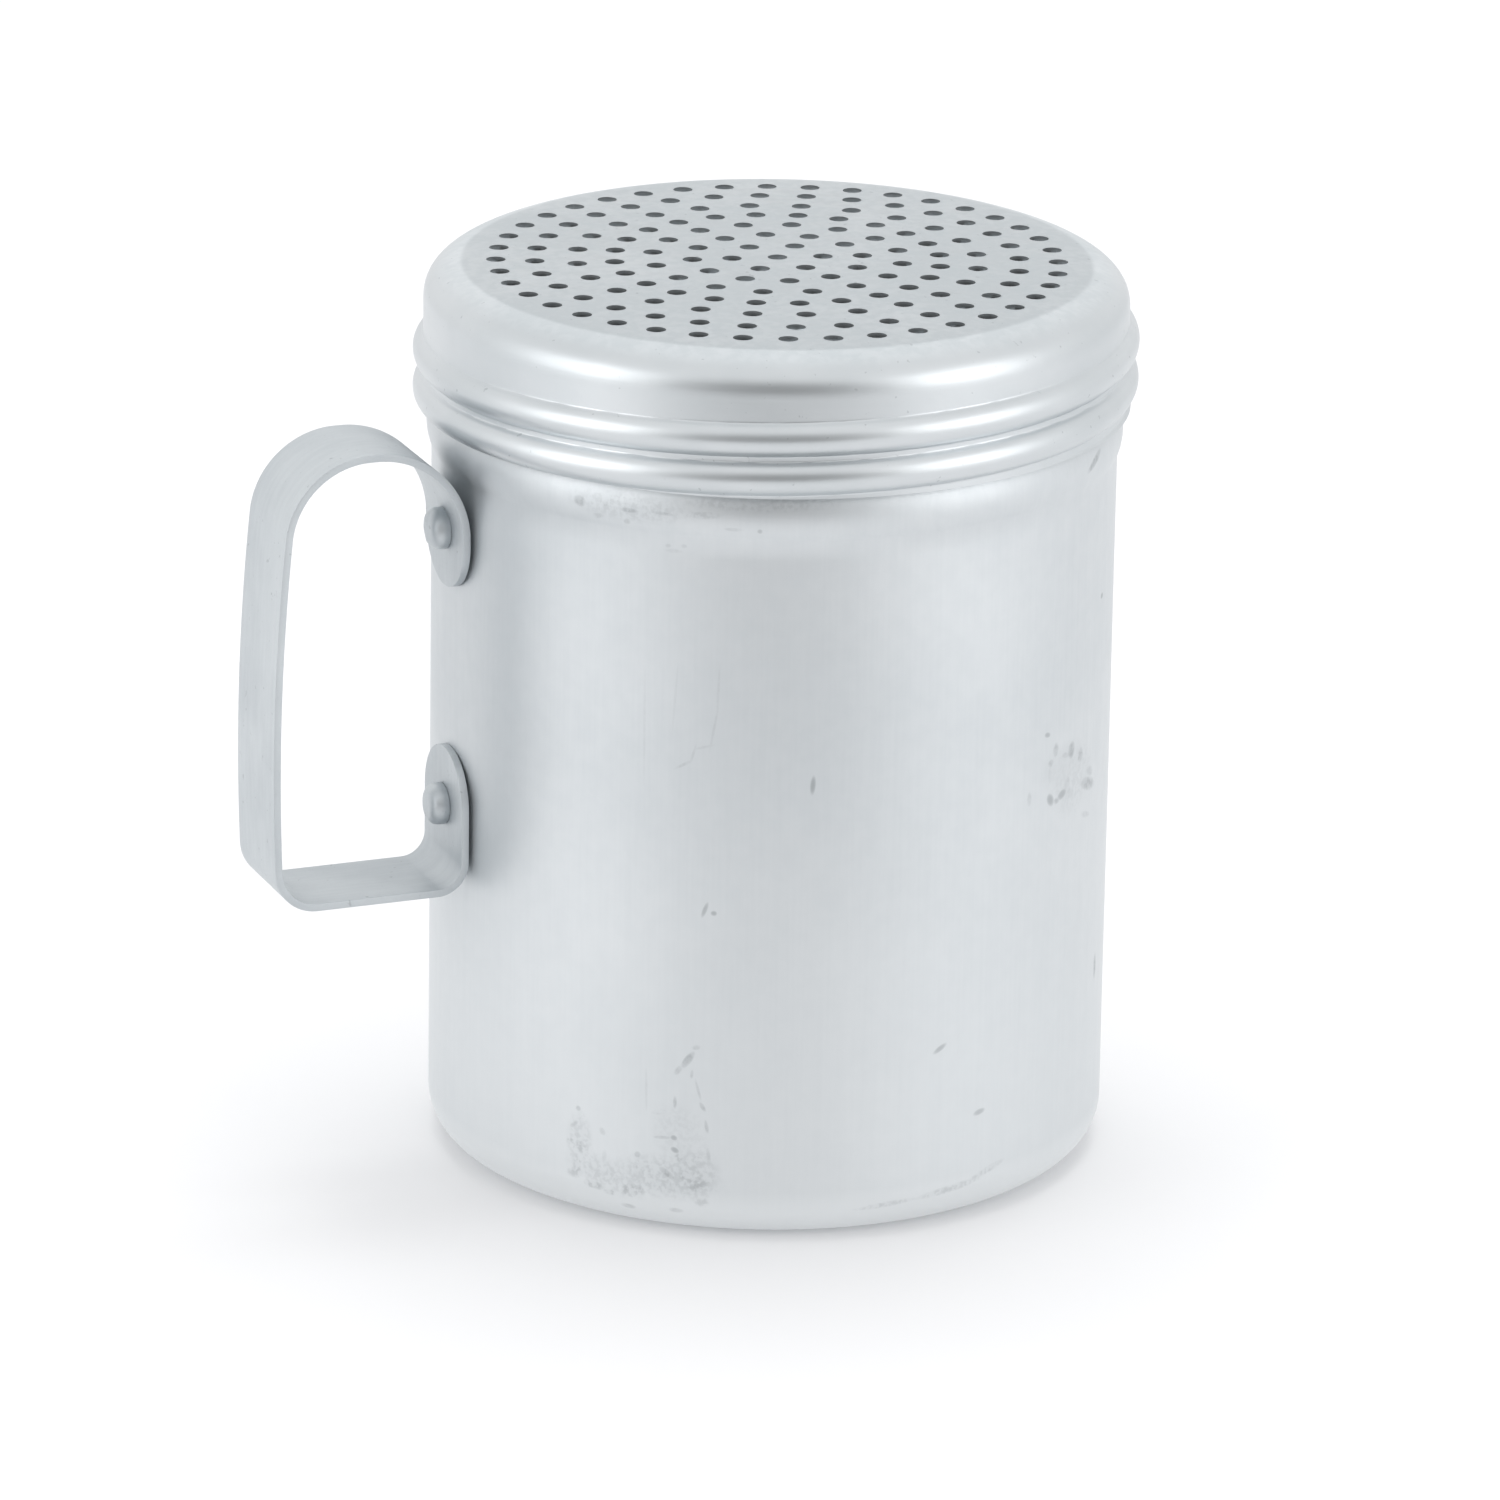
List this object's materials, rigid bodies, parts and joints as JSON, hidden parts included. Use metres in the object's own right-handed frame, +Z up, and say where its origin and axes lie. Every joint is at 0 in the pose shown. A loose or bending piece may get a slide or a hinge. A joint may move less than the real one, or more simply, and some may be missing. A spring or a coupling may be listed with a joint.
{
  "type": "spice shaker dispenser",
  "caption": "Round drawn-aluminium shaker cup with a riveted strap handle and a perforated lid that screws onto the cup's neck.",
  "frame": {"origin": "middle of the cup's flat base, on the surface it stands on", "axes": "+Z up along the cup's axis, handle towards -X, base facing -Z"},
  "size_m": [0.0927, 0.0738, 0.0934],
  "materials": {
    "cup_metal": "satin, spun and lightly scuffed",
    "lid_metal": "satin top, brighter rolled thread",
    "handle_metal": "matt with worn edges",
    "rivet_metal": "matt, tumbled"
  },
  "bodies": {
    "cup": {"cup_body": "cup_metal", "handle_strap": "handle_metal", "upper_rivet": "rivet_metal", "lower_rivet": "rivet_metal"},
    "lid_lift": {"lid_lift_ring": "lid_metal"},
    "lid": {"lid_cap": "lid_metal"}
  },
  "joints": [
    {"name": "lid_rise", "type": "slide", "parent": "cup", "child": "lid_lift", "axis": [0, 0, 1], "range_m": [0, 0.01201]},
    {"name": "lid_turn", "type": "hinge", "parent": "lid_lift", "child": "lid", "pos_m": [0, 0, 0.088], "axis": [0, 0, 1], "range_deg": [0, 1080]}
  ],
  "couplings": [
    {"joint": "lid_rise", "follows": "lid_turn", "m_per_rad": 0.00063662}
  ]
}
